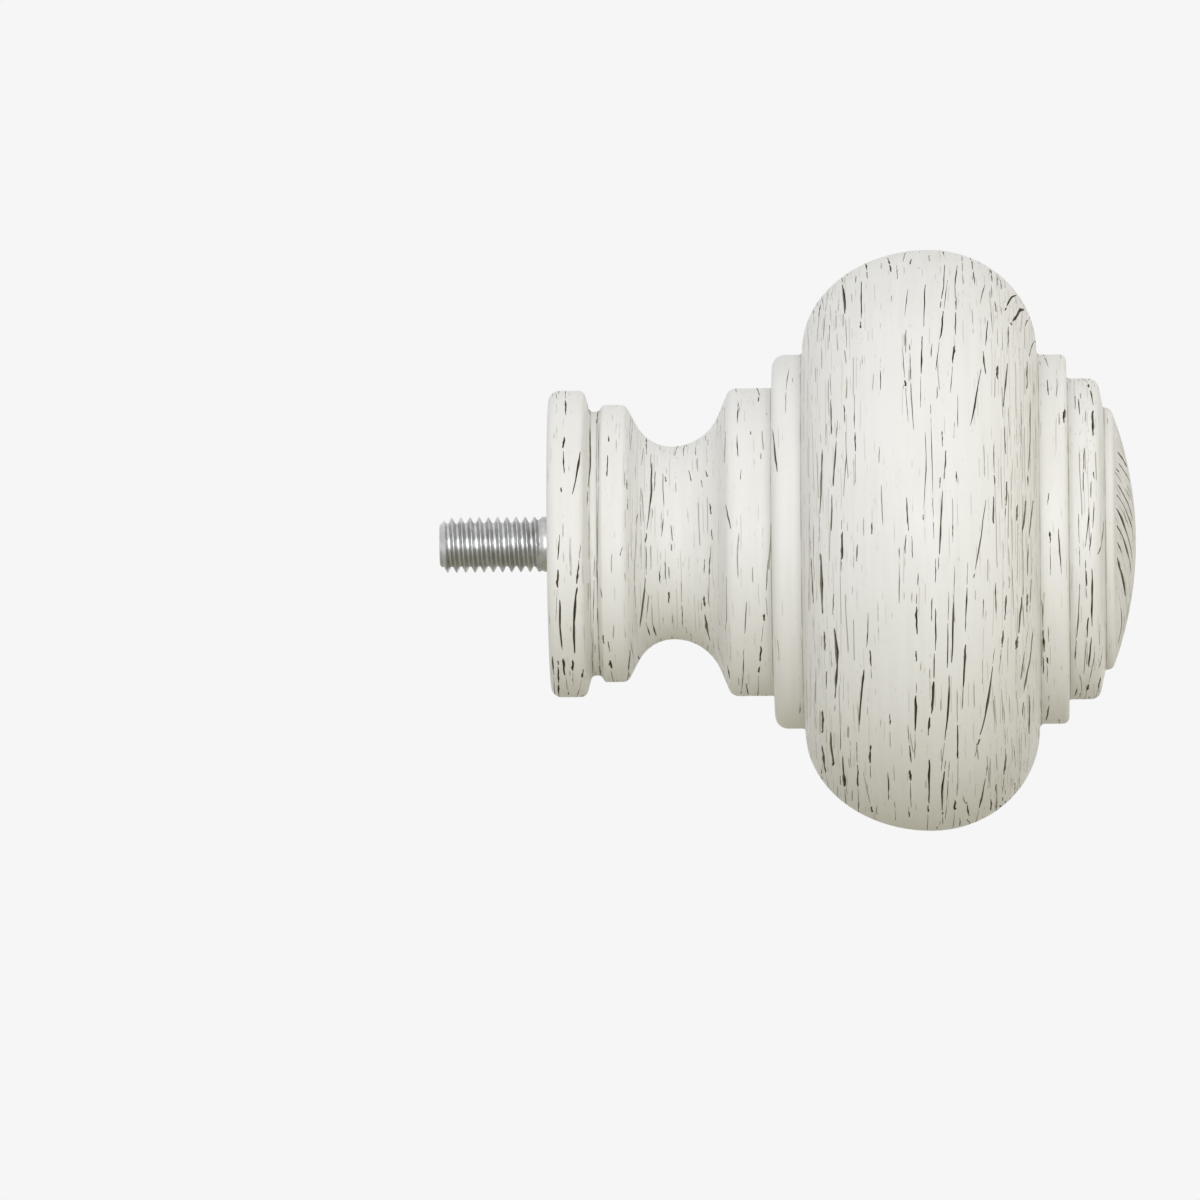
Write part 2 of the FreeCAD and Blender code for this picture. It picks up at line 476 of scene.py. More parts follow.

# Bold strokes of the front, given one by one: the width, then places (x, z) from the upper end to the lower
drawn_strokes = (
    # Base collar
    (0.20, (1.85, 15.6), (1.85, 13.9)),
    (0.28, (1.65, 11.6), (1.55, 10.3)),
    (0.16, (1.55, 10.1), (1.6, 7.6)),
    (0.17, (1.25, 6.1), (1.3, 5.5)),
    (0.26, (3.4, 10.0), (3.0, 7.8), (2.55, 5.2)),
    (0.16, (1.05, 1.0), (0.85, -1.8)),
    (0.28, (0.85, -2.8), (0.75, -4.8)),
    (0.23, (1.0, -6.0), (1.05, -9.2), (1.3, -11.6)),
    (0.34, (1.25, -12.4), (1.55, -14.3)),
    (0.22, (3.15, -1.8), (2.85, -4.4)),
    (0.34, (2.85, -4.6), (2.5, -8.0), (2.5, -12.0)),
    (0.34, (2.35, -12.6), (2.35, -13.8)),
    (0.27, (3.5, -13.6), (3.3, -14.6)),
    (0.20, (0.15, -12.2), (0.25, -14.2)),
    # Groove and ring
    (0.14, (4.5, 12.5), (4.5, 8.5), (4.05, 4.0)),
    (0.09, (5.5, 13.0), (5.4, 8.0), (5.2, 0.0), (5.15, -5.0)),
    (0.12, (5.1, -7.0), (5.15, -8.8)),
    (0.10, (4.1, -4.2), (4.05, -7.4)),
    (0.14, (6.5, 11.7), (6.5, 11.0)),
    (0.17, (6.4, 9.6), (6.25, 7.2)),
    (0.12, (5.5, -4.9), (5.6, -5.9)),
    (0.17, (5.7, -9.9), (5.75, -10.9)),
    (0.15, (6.2, -10.6), (6.4, -11.8)),
    (0.34, (6.35, -12.7), (6.5, -13.6)),
    (0.11, (7.9, -0.4), (7.6, -1.4)),
    (0.18, (8.4, 6.9), (8.5, 5.7)),
    (0.14, (8.55, 4.8), (8.45, 3.6)),
    (0.30, (8.6, -11.6), (8.45, -13.8)),
    # Scotia
    (0.11, (9.6, 3.2), (9.35, 2.0)),
    (0.14, (11.2, 8.8), (11.1, 5.2), (10.4, 0.0)),
    (0.09, (11.6, 7.8), (11.4, 5.6)),
    (0.10, (10.45, -0.3), (10.45, -3.5)),
    (0.25, (10.4, -3.7), (10.0, -7.2), (9.7, -9.2)),
    (0.09, (11.0, -0.2), (11.0, -3.0)),
    (0.09, (10.75, -5.6), (10.4, -8.2)),
    (0.12, (10.4, -8.6), (10.8, -10.1)),
    (0.16, (11.2, -9.0), (11.5, -10.1)),
    (0.10, (12.4, 7.6), (12.35, 6.0), (12.5, 3.8)),
    (0.10, (12.4, 2.6), (12.15, 0.6)),
    (0.17, (12.7, 7.2), (12.7, 6.6)),
    (0.12, (13.2, 1.9), (13.35, 0.2)),
    (0.11, (13.25, -0.1), (13.25, -0.9)),
    (0.14, (11.9, -3.0), (11.95, -4.4)),
    (0.10, (12.5, -2.0), (12.55, -4.0)),
    (0.10, (12.9, -2.6), (12.95, -3.9)),
    (0.17, (12.95, -5.3), (12.9, -6.6)),
    (0.10, (14.35, -6.8), (14.4, -9.4)),
    (0.11, (15.2, 7.9), (15.5, 6.6)),
    (0.09, (15.95, 10.4), (16.0, 9.4)),
    (0.14, (17.05, 7.8), (17.25, 7.1)),
    (0.09, (16.5, 6.8), (16.7, 5.9)),
    (0.20, (17.4, 4.2), (17.6, 3.0)),
    (0.11, (17.3, 2.8), (17.45, 1.8)),
    (0.14, (17.6, 1.4), (17.7, 0.2)),
    (0.14, (17.5, -0.4), (17.3, -3.6)),
    (0.09, (16.85, -1.8), (16.75, -3.4)),
    (0.28, (16.75, -5.8), (16.8, -7.0)),
    (0.26, (16.85, -7.8), (17.0, -9.4), (17.35, -10.7)),
    (0.27, (17.3, -7.2), (17.4, -8.6), (17.9, -10.3)),
    # Drum and step collar
    (0.17, (19.2, 4.1), (19.75, 1.4)),
    (0.12, (19.2, -3.6), (19.2, -8.0), (19.0, -9.6)),
    (0.44, (19.2, -13.4), (19.5, -14.9)),
    (0.12, (20.7, 15.2), (20.55, 12.8)),
    (0.14, (20.5, 11.6), (20.6, 9.2)),
    (0.09, (20.95, 7.9), (20.8, 6.7)),
    (0.14, (22.0, 12.0), (22.0, 11.6)),
    (0.12, (22.9, 15.8), (22.85, 15.2)),
    (0.09, (23.1, 9.6), (23.05, 8.9)),
    (0.09, (23.75, -1.8), (23.5, -5.4)),
    (0.11, (21.4, -6.4), (21.1, -10.0)),
    (0.11, (21.0, -11.6), (20.9, -14.4), (20.65, -16.5)),
    (0.30, (23.3, -7.8), (23.2, -8.6)),
    (0.26, (22.85, -11.3), (22.8, -13.0)),
    (0.25, (22.7, -13.5), (22.65, -14.2)),
    (0.18, (24.4, 12.2), (24.6, 9.4), (24.85, 7.4)),
    # Bead above the axis
    (0.16, (29.7, 25.65), (29.55, 24.4)),
    (0.22, (32.2, 27.9), (32.4, 26.1), (32.45, 24.15)),
    (0.14, (34.7, 30.3), (34.85, 28.4)),
    (0.16, (34.2, 28.2), (34.2, 25.2), (34.08, 22.9)),
    (0.10, (39.15, 31.4), (38.75, 30.2)),
    (0.11, (39.3, 27.2), (38.9, 24.1)),
    (0.11, (39.05, 22.7), (38.95, 20.1)),
    (0.26, (38.85, 17.2), (38.9, 16.5)),
    (0.17, (41.2, 27.7), (41.0, 24.1), (40.95, 22.9)),
    (0.22, (40.8, 22.0), (40.65, 20.2), (40.6, 17.8)),
    (0.14, (43.3, 29.9), (43.2, 27.6), (42.75, 25.0)),
    (0.20, (43.15, 24.7), (42.7, 21.5)),
    (0.12, (44.7, 29.8), (44.4, 27.3), (44.5, 24.8)),
    (0.15, (44.5, 24.6), (44.4, 22.0)),
    (0.23, (44.3, 20.9), (44.1, 18.9)),
    (0.10, (47.7, 27.7), (47.1, 25.4)),
    (0.14, (48.75, 25.75), (48.9, 24.5)),
    (0.14, (47.95, 23.7), (47.7, 20.75)),
    (0.19, (47.45, 20.3), (47.7, 17.7)),
    (0.20, (47.2, 18.4), (46.45, 14.2), (45.95, 12.1)),
    (0.26, (48.95, 18.7), (48.93, 17.2)),
    (0.14, (50.2, 23.0), (50.1, 20.6)),
    (0.23, (50.05, 19.0), (49.6, 14.1)),
    (0.14, (51.15, 26.55), (49.85, 24.7)),
    (0.23, (51.95, 24.95), (50.5, 23.15)),
    (0.10, (52.35, 23.8), (52.0, 23.05)),
    (0.14, (53.2, 20.7), (52.4, 19.7)),
    (0.24, (52.22, 19.2), (52.1, 16.1)),
    (0.17, (52.9, 17.0), (52.9, 15.5)),
    (0.10, (36.15, 18.3), (36.2, 16.1)),
    (0.19, (29.8, 9.9), (29.6, 6.1), (29.45, 2.8)),
    (0.17, (30.75, 15.3), (30.8, 11.4)),
    (0.19, (31.3, 10.8), (30.9, 5.8)),
    (0.12, (30.77, 5.0), (30.65, 1.0)),
    (0.14, (32.2, 14.6), (32.25, 12.6)),
    (0.12, (32.4, 9.4), (32.03, 4.6)),
    (0.09, (33.35, 15.8), (33.3, 11.9)),
    (0.18, (33.37, 11.7), (33.37, 9.5)),
    (0.09, (36.0, 10.1), (35.93, 8.2)),
    (0.11, (36.15, 6.0), (36.3, 1.5)),
    (0.17, (38.95, 4.6), (39.1, 0.9)),
    (0.14, (38.8, 0.6), (38.7, -1.5)),
    (0.16, (42.85, 11.7), (42.88, 9.9)),
    (0.12, (42.6, 6.7), (42.55, 5.5)),
    (0.10, (44.6, 15.6), (44.55, 11.9)),
    (0.14, (44.37, 7.3), (44.35, 6.2)),
    (0.15, (49.7, 12.2), (49.72, 9.1)),
    (0.19, (49.85, 6.2), (49.7, 3.5)),
    (0.19, (48.5, 6.9), (48.53, 5.8)),
    (0.17, (48.4, 4.6), (48.35, 1.6)),
    (0.14, (47.55, 4.4), (46.97, 0.3), (46.15, -4.2)),
    (0.19, (51.0, 3.7), (50.85, 1.9)),
    (0.26, (51.9, 4.2), (51.5, 0.6)),
    (0.27, (52.7, 4.2), (52.2, 0.0)),
    (0.17, (35.1, 1.9), (35.05, 0.6)),
    (0.30, (31.8, 1.0), (31.77, -2.1)),
    (0.14, (43.93, 1.6), (43.87, 0.4)),
    # Bead below the axis
    (0.20, (28.45, -1.7), (28.65, -6.8)),
    (0.31, (29.45, -1.3), (29.45, -3.7), (29.7, -8.0)),
    (0.14, (30.9, -5.7), (30.7, -8.0)),
    (0.31, (30.85, -9.3), (31.15, -12.5), (30.9, -17.4)),
    (0.20, (29.75, -9.7), (29.85, -11.9)),
    (0.16, (30.05, -14.0), (29.95, -16.0)),
    (0.14, (33.5, -0.4), (33.4, -2.3)),
    (0.09, (34.6, -7.7), (34.4, -11.6)),
    (0.22, (34.75, -11.8), (34.85, -13.6)),
    (0.25, (34.05, -13.8), (33.7, -17.4), (33.45, -19.9)),
    (0.14, (40.1, -3.6), (40.07, -5.0)),
    (0.25, (39.9, -7.1), (39.85, -10.2)),
    (0.17, (39.77, -11.9), (39.8, -13.1)),
    (0.12, (42.05, -2.0), (41.95, -4.7)),
    (0.19, (41.95, -7.3), (41.87, -12.0)),
    (0.18, (41.75, -12.2), (41.72, -15.0)),
    (0.36, (41.68, -15.2), (41.4, -18.8)),
    (0.24, (41.25, -19.1), (41.05, -21.1)),
    (0.19, (43.95, -6.6), (43.7, -13.4)),
    (0.22, (43.4, -14.5), (43.25, -18.3), (42.8, -21.7)),
    (0.22, (45.4, -5.1), (45.2, -10.0)),
    (0.25, (45.2, -11.2), (44.9, -16.0)),
    (0.09, (47.2, -6.4), (47.1, -8.6)),
    (0.14, (48.5, -4.6), (48.55, -8.2)),
    (0.17, (49.7, -6.0), (49.45, -8.8)),
    (0.28, (49.3, -9.8), (49.1, -11.7)),
    (0.26, (48.1, -13.6), (47.5, -18.2), (46.4, -22.2)),
    (0.26, (51.45, -6.2), (50.95, -10.2)),
    (0.34, (50.85, -10.5), (50.7, -11.9)),
    (0.22, (52.0, -5.9), (51.9, -8.0)),
    (0.33, (52.6, -9.5), (52.1, -13.6), (51.5, -16.5)),
    (0.19, (51.65, -12.0), (51.15, -15.2)),
    (0.27, (29.55, -18.3), (29.45, -20.8)),
    (0.25, (29.4, -22.0), (29.85, -25.2)),
    (0.27, (30.4, -20.6), (30.55, -24.4)),
    (0.34, (31.65, -23.2), (31.85, -26.7)),
    (0.18, (33.25, -24.2), (33.3, -26.7)),
    (0.30, (34.7, -22.0), (34.68, -24.1)),
    (0.15, (36.85, -18.7), (36.85, -19.9)),
    (0.17, (36.55, -25.0), (36.65, -28.2)),
    (0.30, (39.73, -16.7), (39.6, -20.7)),
    (0.18, (38.97, -22.1), (39.15, -24.1)),
    (0.30, (38.97, -24.8), (39.0, -26.0)),
    (0.23, (41.1, -23.6), (41.07, -26.0), (40.9, -29.5)),
    (0.26, (42.75, -24.9), (42.55, -26.5), (42.5, -29.8)),
    (0.22, (44.2, -19.9), (44.2, -23.7)),
    (0.38, (43.9, -28.2), (43.8, -29.3)),
    (0.20, (47.2, -25.7), (46.45, -29.2)),
    (0.30, (49.5, -23.2), (49.25, -25.5)),
    (0.14, (51.4, -17.6), (51.3, -19.1)),
    (0.26, (34.7, -28.8), (34.85, -29.5)),
    # Shoulder collar and the bead's foot
    (0.12, (54.1, 19.8), (54.5, 18.6)),
    (0.32, (56.3, 14.0), (56.1, 12.5)),
    (0.14, (55.4, 1.2), (55.5, -1.2), (55.75, -4.0)),
    (0.21, (54.5, 0.8), (54.5, -0.5)),
    (0.10, (54.4, 5.0), (54.3, 3.6)),
    (0.09, (54.2, -9.4), (54.25, -11.2)),
    (0.26, (54.05, -12.8), (54.05, -13.5)),
    (0.17, (54.2, -18.0), (53.85, -19.7)),
    (0.20, (53.65, -9.8), (53.75, -12.3)),
    (0.17, (53.6, -12.7), (53.6, -14.6)),
    # Cap collar
    (0.12, (57.4, 15.5), (57.4, 14.0)),
    (0.12, (57.74, 15.2), (57.84, 13.4)),
    (0.31, (58.8, 16.8), (58.9, 16.4)),
    (0.18, (59.05, 16.1), (59.4, 14.4)),
    (0.31, (59.35, 13.9), (59.25, 12.0), (59.25, 11.1)),
    (0.11, (59.3, 7.2), (59.35, 6.4)),
    (0.11, (59.05, 6.2), (58.95, 4.3)),
    (0.11, (59.3, 4.0), (59.15, 1.0)),
    (0.17, (58.75, 3.4), (58.75, 2.4), (58.35, -1.0)),
    (0.14, (59.0, 0.6), (58.8, -1.4)),
    (0.14, (57.7, -4.8), (57.5, -8.0), (57.15, -12.0), (57.05, -13.1)),
    (0.18, (58.35, -3.4), (58.4, -5.2)),
    (0.11, (58.65, -3.0), (58.6, -4.2)),
    (0.22, (59.05, -3.2), (59.0, -7.4), (58.95, -9.6)),
    (0.22, (58.9, -10.6), (58.75, -12.0), (58.55, -14.0)),
    (0.18, (58.55, -8.5), (58.35, -10.8)),
    (0.12, (57.3, -16.2), (57.0, -17.1)),
    (0.22, (58.5, -15.8), (58.35, -16.5)),
    (0.16, (58.1, -16.4), (58.3, -17.0)),
    (0.14, (58.75, -16.0), (58.65, -16.7)),
    (0.26, (60.4, 1.9), (60.2, 0.2), (59.65, -1.8)),
    (0.20, (60.1, -11.6), (59.7, -14.0)),
    (0.26, (59.85, -15.0), (59.55, -16.3)),
)

# Strokes half filled with paint, which look paler
filled_strokes = (
    (0.16, (19.25, 12.0), (19.1, 8.5)),
    (0.18, (19.2, 7.5), (19.2, 4.3)),
    (0.29, (42.65, 21.2), (42.4, 16.6)),
    (0.12, (41.0, 11.7), (41.1, 8.0), (40.7, 2.1)),
    (0.17, (43.25, 9.6), (43.0, 6.4)),
    (0.22, (42.9, 5.3), (42.5, 0.1), (42.4, -1.7)),
    (0.22, (52.5, 14.9), (52.45, 10.7), (52.1, 5.7)),
    (0.17, (51.85, 9.2), (51.8, 6.0)),
    (0.14, (53.0, 13.0), (53.1, 8.5)),
    (0.14, (41.6, -6.2), (41.5, -8.8)),
    (0.18, (43.3, -8.9), (43.15, -13.9)),
    (0.18, (52.1, -0.5), (52.0, -4.0)),
    (0.19, (52.4, -4.2), (52.25, -7.0)),
    (0.19, (52.1, -16.8), (52.0, -21.2)),
)

# Strokes across the dome's front edge: the width, then places (y, z)
dome_strokes = (
    (0.36, (-12.0, 4.8), (-9.5, 3.3), (-6.1, 1.3), (-4.8, -0.5)),
    (0.50, (-12.7, 3.3), (-10.6, 1.8), (-7.8, -0.5), (-5.7, -2.2)),
    (0.50, (-12.9, 1.4), (-10.8, 0.0), (-7.7, -2.2), (-5.9, -3.9)),
    (0.28, (-12.9, -0.4), (-11.0, -1.6)),
    (0.62, (-12.7, -2.1), (-11.3, -3.4), (-7.5, -6.4)),
    (0.42, (-9.2, -7.5), (-6.7, -9.3), (-5.2, -11.6)),
    (0.42, (-8.1, 9.3), (-3.3, 7.7)),
    (0.28, (-10.4, 7.6), (-9.4, 7.1)),
    (0.28, (-8.9, 8.2), (-3.3, 6.0)),
    (0.30, (-11.0, 5.9), (-7.2, 3.6), (-4.7, 1.8)),
)


def boxes_meet(first, second):
    """Whether two rows of boxes touch anywhere, each row given by its low and its high corners."""
    apart = (first[0][:, None] > second[1][None]) | (first[1][:, None] < second[0][None])
    return not apart.any(axis=-1).all()


class Grain:
    """The strokes of the moulded grain, and the boxes that keep them apart.

    A stroke holds the places, normals, sideways directions, edges and depths at its stations, and its tone.
    """

    def __init__(self):
        """Starts with no stroke."""
        self.strokes = []
        self.boxes = []
        self.low = np.empty((0, 3))
        self.high = np.empty((0, 3))

    def add(self, length, angle, width, tone):
        """Adds a stroke along outline lengths and angles, unless it runs into another or over the seam."""
        places, normals = on_surface(length, angle)
        sides = np.cross(normals, np.gradient(places, axis=0))
        sides /= np.linalg.norm(sides, axis=1, keepdims=True)
        reach = edge_reach * width * np.abs(sides).max(axis=0) + grain_room / 2
        steps = np.linspace(0, gouge_stations - 1, box_count + 1)
        spots = np.stack([np.interp(steps, range(gouge_stations), axis) for axis in places.T], axis=1)
        low = np.minimum(spots[:-1], spots[1:]) - reach
        high = np.maximum(spots[:-1], spots[1:]) + reach
        over_seam = places[:, 1].max() > 0 and low[:, 2].min() < 0 < high[:, 2].max()
        near = np.all((self.low < high.max(axis=0)) & (self.high > low.min(axis=0)), axis=1)
        if over_seam or any(boxes_meet(self.boxes[k], (low, high)) for k in np.flatnonzero(near)):
            return
        fullness = tapered()
        edges = torn_edges(width, fullness)
        depths = min(deepest_gouge, least_gouge + gouge_growth * width) * fullness
        self.strokes.append((places, normals, sides, edges, depths, tone))
        self.boxes.append((low, high))
        self.low = np.vstack([self.low, low.min(axis=0)])
        self.high = np.vstack([self.high, high.max(axis=0)])


def tapered():
    """How full a stroke is at each station, with both of its ends above the surface."""
    fullest = rng.uniform(*fullest_between)
    rise = np.minimum(station_share / fullest, (1 - station_share) / (1 - fullest))
    fullness = blunt_share + (1 - blunt_share) * rise ** taper_power
    fullness[[0, -1]] = end_fullness
    return fullness


def torn_edges(width, fullness):
    """Offsets of a stroke's two uneven edges from its middle, at each of its stations."""
    spread = np.clip(rng.lognormal(tear_middle, tear_spread, (gouge_stations, 2)), *tear_limits)
    half = width / 2 * np.maximum(fullness, narrowest_share)[:, None] * spread
    bends = np.clip(rng.normal(0, bend_spread, bend_count), -bend_limit, bend_limit) * width
    drift = np.interp(np.linspace(0, bend_count - 1, gouge_stations), range(bend_count), bends)
    return half * np.array([1, -1]) + drift[:, None]


def lay_chain(grain, length, angle, width, tone, dash_length):
    """Lays a chain of dashes along a path given by outline lengths and angles."""
    places, _ = on_surface(length, angle)
    run = np.concatenate([[0], np.cumsum(np.linalg.norm(np.diff(places, axis=0), axis=1))])
    done = 0.0
    while run[-1] - done > shortest_dash / 2:
        dash = float(np.clip(dash_length * rng.lognormal(0, dash_spread), shortest_dash, longest_dash))
        left = run[-1] - done
        if left - dash < shortest_dash:
            dash = min(left, longest_dash)
        at = done + dash * station_share
        size = width * float(np.clip(rng.lognormal(0, width_spread), *width_limits))
        shade = float(np.clip(tone + rng.normal(0, tone_spread), palest_tone, 1))
        grain.add(np.interp(at, run, length), np.interp(at, run, angle), size, shade)
        done += dash + grain_room + gap_share * width + rng.exponential(usual_gap)


def lay_seen(grain, places, width, tone):
    """Lays a stroke given by places in the side view, wider where the surface turns away."""
    x, z = places.T
    radius = radius_at(length_at(x))
    nearness = np.sqrt(np.maximum(radius ** 2 - z ** 2, 0))
    length = length_at(x + nearness * (math.sin(view_turn) - (x - picture_centre[0]) / view_distance))
    radius = radius_at(length)
    nearby = length.mean() + slope_reach * np.array([-1, 1])
    seen = np.ptp(x_at(nearby)) / np.ptp(nearby)
    wide = min(width / max(seen, least_seen), widest_stroke)
    lay_chain(grain, length, np.arcsin(np.clip(z / radius, -1, 1)), wide, tone, usual_drawn_dash)


def lay_drawn(grain, strokes, tone):
    """Lays drawn strokes, then the thin tails that carry the bold ones on past their ends."""
    drawn = [(width, np.array(places)) for width, *places in strokes]
    for width, places in drawn:
        lay_seen(grain, places, width, tone)
    for width, places in drawn:
        if width < bold_from:
            continue
        for end, inner in ((places[0], places[1]), (places[-1], places[-2])):
            ahead = (end - inner) / np.linalg.norm(end - inner)
            tail_end = end + rng.uniform(shortest_tail, longest_tail) * ahead
            tail = np.array([end + tail_gap * ahead, tail_end])
            lay_seen(grain, tail, tail_width, tail_tone * tone)


# Where further strands of grain run: from and to along the axis, the room between strands, how much of
# a strand's way is marked, how bold it is, and the share of it that is left beside the drawn strokes
grain_bands = (
    ("base collar", 0.5, 3.6, 0.7, 0.55, 0.9, 0.06),
    ("groove", 4.2, 5.7, 0.6, 0.50, 0.6, 0.3),
    ("ring", 6.1, 8.3, 0.9, 0.35, 0.6, 0.3),
    ("scotia", 8.6, 19.5, 0.8, 0.45, 0.6, 0.3),
    ("drum", 20.0, 24.0, 1.1, 0.30, 0.6, 0.2),
    ("step collar", 25.2, 27.4, 1.6, 0.08, 0.4, 0.4),
    ("bead towards the base", 27.9, 33.5, 0.7, 0.50, 1.0, 0.35),
    ("middle of the bead", 33.5, 47.5, 0.9, 0.44, 1.0, 0.15),
    ("bead towards the dome", 47.5, 53.1, 0.7, 0.50, 1.0, 0.5),
    ("shoulder collar", 53.6, 56.0, 0.9, 0.24, 0.6, 0.4),
    ("cap collar", 56.8, 59.6, 0.5, 0.55, 0.8, 0.3),
)

# How far round the drawn strokes reach, and how strands vary: their place in a row, the logarithm of
# their run (middle and spread), how strong they are, and how width and tone grow with strength
drawn_side = math.radians(70)
front_strength = 0.3
strand_place = (0.1, 0.9)
strand_run = (1.7, 0.6)
strand_run_limits = (1.5, 22)
strand_gap = 1.2
strand_strength = (1.6, 2.4)
strand_points = 9
strand_slope = 0.03
strand_bow = 0.05
thinnest_strand = 0.065
strand_growth = 0.22
palest_strand = 0.55
strand_tone_growth = 0.8


def lay_strands(grain, first_x, last_x, room, marked, boldness, front_share):
    """Fills a band of the turned side with strands of grain, faint ones where strokes are drawn."""
    first, last = length_at(first_x), length_at(last_x)
    rows = max(1, round((last - first) / room))
    share = np.linspace(0, 1, strand_points)
    for row in range(rows):
        level = first + (row + rng.uniform(*strand_place)) * (last - first) / rows
        radius = radius_at(level)
        way_round = 2 * math.pi * radius
        way = 0.0
        while way < way_round:
            run = min(float(np.clip(rng.lognormal(*strand_run), *strand_run_limits)), way_round - way)
            middle = (way + run / 2) / radius - math.pi
            on_front = abs(middle) < drawn_side
            if rng.uniform() < marked * (front_share if on_front else 1):
                strength = rng.beta(*strand_strength) * boldness * (front_strength if on_front else 1)
                sway = rng.normal(0, strand_slope) * run * (share - 0.5)
                sway += rng.normal(0, strand_bow) * np.sin(math.pi * share)
                length = np.clip(level + sway, first, last)
                angle = (way + run * share) / radius - math.pi
                width = thinnest_strand + strand_growth * strength
                tone = min(1, palest_strand + strand_tone_growth * strength)
                lay_chain(grain, length, angle, width, tone, usual_dash)
            way += run + rng.exponential(strand_gap)


# Strokes across the dome, which all run one way in rows: their place in a row, the logarithm of their
# run (middle and spread), how strong they are, and how width and tone grow with strength
dome_stroke_angle = math.radians(37)
dome_clear_rim = 13.3
dome_drawn_tone = 1.35
dome_rows = 30
dome_place = (0.2, 0.8)
dome_points = 33
dome_start = 1.0
dome_shortest_run = 1.0
dome_run = (1.8, 0.4)
dome_run_limits = (2, 12)
dome_gap = 0.4
dome_usual_gap = 2.0
dome_strength = (1.6, 2.0)
dome_slope = 0.04
thinnest_dome_stroke = 0.11
dome_stroke_growth = 0.22
palest_dome_stroke = 0.95
dome_tone_growth = 0.4
crown_from = int(np.flatnonzero(outline_radius >= dome_clear_rim)[-1])


def on_crown(y, z):
    """Outline lengths and angles of places (y, z) on the crown of the dome."""
    radii, lengths = outline_radius[crown_from:], outline_length[crown_from:]
    return np.interp(np.hypot(y, z), radii[::-1], lengths[::-1]), np.unwrap(np.arctan2(z, -y))


def lay_dome(grain):
    """Lays the drawn strokes of the dome, then further ones in rows across it."""
    for width, *places in dome_strokes:
        y, z = np.array(places).T
        steps = np.linspace(0, 1, len(y))
        path = on_crown(np.interp(station_share, steps, y), np.interp(station_share, steps, z))
        grain.add(*path, width, dome_drawn_tone)
    share = np.linspace(0, 1, dome_points)
    cosine, sine = math.cos(dome_stroke_angle), math.sin(dome_stroke_angle)
    for row in range(dome_rows):
        offset = dome_clear_rim * (2 * (row + rng.uniform(*dome_place)) / dome_rows - 1)
        half_chord = math.sqrt(dome_clear_rim ** 2 - offset ** 2)
        place = -half_chord + rng.exponential(dome_start)
        while place < half_chord - dome_shortest_run:
            end = min(place + float(np.clip(rng.lognormal(*dome_run), *dome_run_limits)), half_chord)
            strength = rng.beta(*dome_strength)
            reach = place + (end - place) * share
            across = offset + rng.normal(0, dome_slope) * (reach - place)
            path = on_crown(reach * cosine + across * sine, across * cosine - reach * sine)
            width = thinnest_dome_stroke + dome_stroke_growth * strength
            tone = palest_dome_stroke + dome_tone_growth * strength
            lay_chain(grain, *path, width, tone, usual_dash)
            place = end + dome_gap + rng.exponential(dome_usual_gap)


def model_gouge():
    """One gouge: a three-sided bar with its keel down, a step long between stations."""
    corners = [(0, -1, 0), (0, 1, 0), (0, 0, -1)]
    piece = start_point("gouge", corners[0])
    draw_to(corners[0], corners[1:])
    bpy.ops.mesh.select_all(action="SELECT")
    bpy.ops.mesh.edge_face_add()
    for _ in range(gouge_stations - 1):
        bpy.ops.mesh.extrude_region_move(TRANSFORM_OT_translate={"value": (1, 0, 0)})
    bpy.ops.object.mode_set(mode="OBJECT")
    return piece


def carved_grain(grain):
    """All gouges as one cutter: the one gouge in a row of copies, each laid along its own stroke."""
    cutter = model_gouge()
    count = len(grain.strokes)
    row = cutter.modifiers.new("row", "ARRAY")
    row.use_relative_offset = False
    row.use_constant_offset = True
    row.constant_offset_displace = (gouge_stations, 0, 0)
    row.count = count
    make_active(cutter)
    bpy.ops.object.modifier_apply(modifier=row.name)
    local = np.rint(read_places(cutter.data)).astype(int).reshape(count, -1, 3)
    station = local[:, :, 0] - gouge_stations * np.arange(count)[:, None]
    stroke = np.broadcast_to(np.arange(count)[:, None], station.shape)

    places, normals, sides, edges, depth, tone = (np.array(values) for values in zip(*grain.strokes))
    flare = 1 + grain_lift / np.maximum(depth, grain_lift)
    rims = edges * flare[..., None]
    aside = np.where(local[:, :, 1] == 0, edges.mean(axis=-1)[stroke, station], 0)
    aside = np.where(local[:, :, 1] > 0, rims[stroke, station, 0], aside)
    aside = np.where(local[:, :, 1] < 0, rims[stroke, station, 1], aside)
    height = np.where(local[:, :, 2] < 0, -depth[stroke, station], grain_lift)
    laid = places[stroke, station] + aside[..., None] * sides[stroke, station]
    laid += height[..., None] * normals[stroke, station]
    write_places(cutter.data, laid.reshape(-1, 3) * MM)
    tone = np.repeat(tone, local.shape[1])
    write_attribute(cutter.data, "tone", "FLOAT", tone.astype(np.float32))
    make_active(cutter)
    bpy.ops.object.mode_set(mode="EDIT")
    bpy.ops.mesh.select_all(action="SELECT")
    bpy.ops.mesh.normals_make_consistent(inside=False)
    bpy.ops.object.mode_set(mode="OBJECT")
    return cutter


# Materials

# Colours of the paint, the wash and the zinc
paint_light = (0.855, 0.850, 0.826, 1)
paint_shade = (0.815, 0.808, 0.778, 1)
wash_tan = (0.28, 0.25, 0.18, 1)
wash_dark = (0.018, 0.015, 0.010, 1)
zinc_light = (0.66, 0.67, 0.68, 1)
zinc_shade = (0.50, 0.50, 0.49, 1)

# Noise is stretched along the grain by a factor for each axis, and masks rise between two levels
streak_stretch = (1.3, 0.06, 0.06)
pore_stretch = (7.0, 1.1, 1.1)
pore_levels = (0.66, 0.74)
patch_stretch = (0.35, 0.12, 0.12)
patch_levels = (0.48, 0.62)
mottle_levels = (0.3, 0.7)

